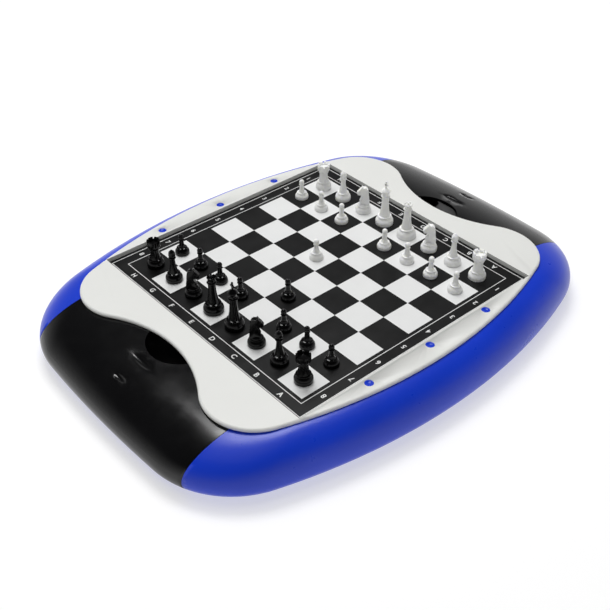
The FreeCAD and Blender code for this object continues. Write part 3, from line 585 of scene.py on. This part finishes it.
def stand_men(kind):
    """Put a detailed man in place of every CAD man of a kind."""
    for node in sorted(NODES):
        colour_name, _, rest = node.partition("_")
        if colour_name not in ("white", "black") or rest.split("_")[0] != kind:
            continue
        floor_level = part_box(node)[0].z
        form = man_form(kind)
        facing = math.pi if colour_name == "white" else 0.0
        if kind == "knight":
            facing += sizes().knight_turn
        turn = Matrix.Rotation(facing, 4, "Z")
        base = NODES[node].data
        foot = [vert.co for vert in base.vertices if vert.co.z < floor_level + MM]
        middle = Vector(((min(p.x for p in foot) + max(p.x for p in foot)) / 2,
                         (min(p.y for p in foot) + max(p.y for p in foot)) / 2, floor_level))
        bmesh.ops.transform(form, matrix=Matrix.Translation(middle) @ turn, verts=form.verts)
        piece = keep_piece(f"{node}_turned", form, node, ("magnet",))
        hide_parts(node)


# ---------------------------------------------------------------- printed coordinates

def add_mark(form, text, x, y, turn):
    """One letter or number of ink, lying on the sheet."""
    size = sizes()
    curve = bpy.data.curves.new("mark", "FONT")
    curve.body = text
    curve.size = size.mark_height
    curve.offset = size.mark_weight
    curve.extrude = size.ink / 2
    curve.resolution_u = 4
    holder = bpy.data.objects.new("mark", curve)
    bpy.context.scene.collection.objects.link(holder)
    bpy.context.view_layer.update()
    mesh = bpy.data.meshes.new_from_object(holder)
    bpy.data.objects.remove(holder)
    bpy.data.curves.remove(curve)
    across = [vert.co.x for vert in mesh.vertices]
    up = [vert.co.y for vert in mesh.vertices]
    centre = Vector(((min(across) + max(across)) / 2, (min(up) + max(up)) / 2, 0))
    place = (Matrix.Translation((x, y, FIELD_TOP + size.ink / 2))
             @ Matrix.Rotation(turn, 4, "Z") @ Matrix.Translation(-centre))
    mesh.transform(place)
    form.from_mesh(mesh)
    bpy.data.meshes.remove(mesh)


def coordinate_marks():
    """Letters along both ends and numbers along both sides of the board."""
    form = bmesh.new()
    size = sizes()
    for index, letter in enumerate(FILES):
        across = (index - 3.5) * size.square
        add_mark(form, letter.upper(), -size.mark_line, across, -math.pi / 2)
        add_mark(form, letter.upper(), size.mark_line, across, math.pi / 2)
        along = (3.5 - index) * size.square
        add_mark(form, str(index + 1), along, size.mark_line, -math.pi / 2)
        add_mark(form, str(index + 1), along, -size.mark_line, math.pi / 2)
    piece = keep_piece("board_coordinates", form, "board_sheet")
    piece.data.materials.clear()
    piece.data.materials.append(finish_of("white_ink"))
    return piece


# ---------------------------------------------------------------- panel plugs

def plug_middles():
    """Feet of the six plugs, from the box of their CAD node and their radius."""
    low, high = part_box("panel_plugs")
    size = sizes()
    reach = Vector((high.x - size.plug_radius, high.y - size.plug_radius))
    return [Vector((step * reach.x, side * reach.y, low.z))
            for side in (-1, 1) for step in (-1, 0, 1)]


def dished_plugs():
    """Six round plugs with a rolled rim and a dished middle."""
    low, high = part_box("panel_plugs")
    top = (high.z - low.z) / MM
    size = sizes()
    radius, dish = size.plug_radius / MM, size.plug_dish / MM
    form = bmesh.new()
    for middle in plug_middles():
        plug = bmesh.new()
        turned(plug, [(0.0, 0.0, 0.0), (radius, 0.0, 0.0), (radius, top - 0.3, 0.41),
                      (radius - 0.3, top, 0.0), (radius - 0.55, top, 0.2),
                      (radius - 0.85, top - 0.12, -0.16), (0.0, top - dish, 0.0)], turns=40)
        close_form(plug)
        bmesh.ops.translate(plug, verts=plug.verts, vec=middle)
        mesh = bpy.data.meshes.new("plug")
        plug.to_mesh(mesh)
        plug.free()
        form.from_mesh(mesh)
        bpy.data.meshes.remove(mesh)
    piece = keep_piece("panel_plugs_dished", form, "panel_plugs")
    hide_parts("panel_plugs")


# ---------------------------------------------------------------- stage

def softbox(name, place, width, depth, power, glossy):
    """An area light that points at the middle of the set, shown or not in glossy surfaces."""
    light = bpy.data.lights.new(name, "AREA")
    light.shape = "RECTANGLE"
    light.size, light.size_y, light.energy = width, depth, power
    holder = bpy.data.objects.new(name, light)
    holder.location = place
    holder.rotation_euler = (-Vector(place)).to_track_quat("-Z", "Y").to_euler()
    holder.visible_glossy = glossy
    bpy.context.scene.collection.objects.link(holder)


def studio_world(stage):
    """Pale walls near the horizon under a darker ceiling."""
    world = bpy.data.worlds.new("studio")
    world.use_nodes = True
    tree = world.node_tree
    tree.nodes.clear()
    direction = add(tree, "ShaderNodeTexCoord").outputs["Generated"]
    height = add(tree, "ShaderNodeSeparateXYZ", {"Vector": direction}).outputs["Z"]
    share = remap(tree, height, 0.0, 1.0, 0.05, 0.60)
    low = (stage.horizon,) * 3 + (1.0,)
    high = (stage.zenith,) * 3 + (1.0,)
    sky = add(tree, "ShaderNodeBackground", {"Color": blend_colours(tree, share, low, high)})
    output = add(tree, "ShaderNodeOutputWorld")
    tree.links.new(sky.outputs["Background"], output.inputs["Surface"])
    bpy.context.scene.world = world


def studio_floor(stage):
    """Pale floor that glows a little, so that shadows on it stay faint."""
    form = bmesh.new()
    bmesh.ops.create_grid(form, x_segments=1, y_segments=1, size=4.0)
    mesh = bpy.data.meshes.new("studio_floor")
    form.to_mesh(mesh)
    form.free()
    material, tree, place = start_material("studio_floor")
    cloud = noise(tree, place, 3.0)
    base = colours().floor
    finish_material(tree, {
        "Base Color": blend_colours(tree, cloud, shaded(base, 0.99), shaded(base, 1.0)),
        "Roughness": 0.8, "Specular IOR Level": 0.2,
        "Emission Color": (1.0, 1.0, 1.0, 1.0), "Emission Strength": stage.floor_glow})
    mesh.materials.append(material)
    floor = bpy.data.objects.new("studio_floor", mesh)
    bpy.context.scene.collection.objects.link(floor)


def studio_camera(stage):
    """Camera that looks at its aim from an azimuth, an elevation and a distance."""
    flat = math.cos(stage.elevation)
    back = Vector((math.sin(stage.azimuth) * flat, -math.cos(stage.azimuth) * flat,
                   math.sin(stage.elevation)))
    right = Vector((math.cos(stage.azimuth), math.sin(stage.azimuth), 0.0))
    up = back.cross(right)
    level = Matrix((right, up, back)).transposed()
    data = bpy.data.cameras.new("camera")
    data.lens = stage.lens
    data.sensor_width = 36.0
    camera = bpy.data.objects.new("camera", data)
    turn = level @ Matrix.Rotation(stage.roll, 3, "Z")
    camera.matrix_world = (Matrix.Translation(Vector(stage.aim) + back * stage.distance)
                           @ turn.to_4x4())
    bpy.context.scene.collection.objects.link(camera)
    bpy.context.scene.camera = camera


# ---------------------------------------------------------------- operators

class CHESSSET_OT_case(bpy.types.Operator):
    """Lower case, top panel and inner deck, smooth and in their own plastics"""
    bl_idname = "chessset.case"
    bl_label = "Case mouldings"

    def execute(self, context):
        for node in ("base_shell", "top_panel", "support_deck"):
            smooth_moulding(node)
        dished_plugs()
        return {"FINISHED"}


class CHESSSET_OT_board(bpy.types.Operator):
    """Printed sheet, its letters and numbers, and the steel sheet under it"""
    bl_idname = "chessset.board"
    bl_label = "Playing board"

    def execute(self, context):
        dress_node("board_sheet")
        dress_node("steel_plate")
        coordinate_marks()
        return {"FINISHED"}


class CHESSSET_OT_drawers(bpy.types.Operator):
    """Drawer bins and glossy handle covers at both ends"""
    bl_idname = "chessset.drawers"
    bl_label = "Drawers"

    def execute(self, context):
        for end in ("white_end", "black_end"):
            smooth_moulding(f"{end}_drawer_bin")
            smooth_moulding(f"{end}_drawer_handle")
        return {"FINISHED"}


class CHESSSET_OT_fixings(bpy.types.Operator):
    """Screws and rubber feet"""
    bl_idname = "chessset.fixings"
    bl_label = "Screws and feet"

    def execute(self, context):
        for node in ("panel_screws", "white_end_drawer_screws", "black_end_drawer_screws",
                     "rubber_feet"):
            dress_node(node)
        return {"FINISHED"}


class CHESSSET_OT_pawns(bpy.types.Operator):
    """Sixteen pawns"""
    bl_idname = "chessset.pawns"
    bl_label = "Pawns"

    def execute(self, context):
        stand_men("pawn")
        return {"FINISHED"}


class CHESSSET_OT_rooks(bpy.types.Operator):
    """Four rooks with battlements"""
    bl_idname = "chessset.rooks"
    bl_label = "Rooks"

    def execute(self, context):
        stand_men("rook")
        return {"FINISHED"}


class CHESSSET_OT_knights(bpy.types.Operator):
    """Four knights with horse's heads"""
    bl_idname = "chessset.knights"
    bl_label = "Knights"

    def execute(self, context):
        stand_men("knight")
        return {"FINISHED"}


class CHESSSET_OT_bishops(bpy.types.Operator):
    """Four bishops"""
    bl_idname = "chessset.bishops"
    bl_label = "Bishops"

    def execute(self, context):
        stand_men("bishop")
        return {"FINISHED"}


class CHESSSET_OT_queens(bpy.types.Operator):
    """Two queens with pointed crowns"""
    bl_idname = "chessset.queens"
    bl_label = "Queens"

    def execute(self, context):
        stand_men("queen")
        return {"FINISHED"}


class CHESSSET_OT_kings(bpy.types.Operator):
    """Two kings with crosses"""
    bl_idname = "chessset.kings"
    bl_label = "Kings"

    def execute(self, context):
        stand_men("king")
        return {"FINISHED"}


class CHESSSET_OT_stage(bpy.types.Operator):
    """Pale floor, soft light and the camera"""
    bl_idname = "chessset.stage"
    bl_label = "Studio"

    def execute(self, context):
        stage = context.scene.chess_set_stage
        studio_world(stage)
        studio_floor(stage)
        softbox("top_softbox", place=(0.0, 0.3, 1.4), width=1.6, depth=1.6,
                power=stage.top_power, glossy=False)
        softbox("key_softbox", place=(0.29, 0.55, 1.47), width=0.75, depth=0.5,
                power=stage.key_power, glossy=True)
        studio_camera(stage)
        context.scene.view_settings.view_transform = "Standard"
        return {"FINISHED"}


STEPS = (
    CHESSSET_OT_case, CHESSSET_OT_board, CHESSSET_OT_drawers, CHESSSET_OT_fixings,
    CHESSSET_OT_pawns, CHESSSET_OT_rooks, CHESSSET_OT_knights, CHESSSET_OT_bishops,
    CHESSSET_OT_queens, CHESSSET_OT_kings, CHESSSET_OT_stage,
)


class CHESSSET_PT_panel(bpy.types.Panel):
    """Steps and sizes of the chess set"""
    bl_idname = "CHESSSET_PT_panel"
    bl_label = "Chess Set"
    bl_space_type = "VIEW_3D"
    bl_region_type = "UI"
    bl_category = "Chess Set"

    def draw(self, context):
        column = self.layout.column()
        for step in STEPS:
            column.operator(step.bl_idname)
        scene = context.scene
        for group in (scene.chess_set_sizes, scene.chess_set_colours, scene.chess_set_stage):
            for name in group.__annotations__:
                column.prop(group, name)


CLASSES = (ChessSetSizes, ChessSetColours, ChessSetStage, *STEPS, CHESSSET_PT_panel)


def register():
    for made in CLASSES:
        bpy.utils.register_class(made)
    bpy.types.Scene.chess_set_sizes = PointerProperty(type=ChessSetSizes)
    bpy.types.Scene.chess_set_colours = PointerProperty(type=ChessSetColours)
    bpy.types.Scene.chess_set_stage = PointerProperty(type=ChessSetStage)


def unregister():
    del bpy.types.Scene.chess_set_stage
    del bpy.types.Scene.chess_set_colours
    del bpy.types.Scene.chess_set_sizes
    for made in reversed(CLASSES):
        bpy.utils.unregister_class(made)


def main():
    """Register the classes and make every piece."""
    register()
    bpy.ops.chessset.case()
    bpy.ops.chessset.board()
    bpy.ops.chessset.drawers()
    bpy.ops.chessset.fixings()
    bpy.ops.chessset.pawns()
    bpy.ops.chessset.rooks()
    bpy.ops.chessset.knights()
    bpy.ops.chessset.bishops()
    bpy.ops.chessset.queens()
    bpy.ops.chessset.kings()
    bpy.ops.chessset.stage()


if __name__ == "__main__":
    main()
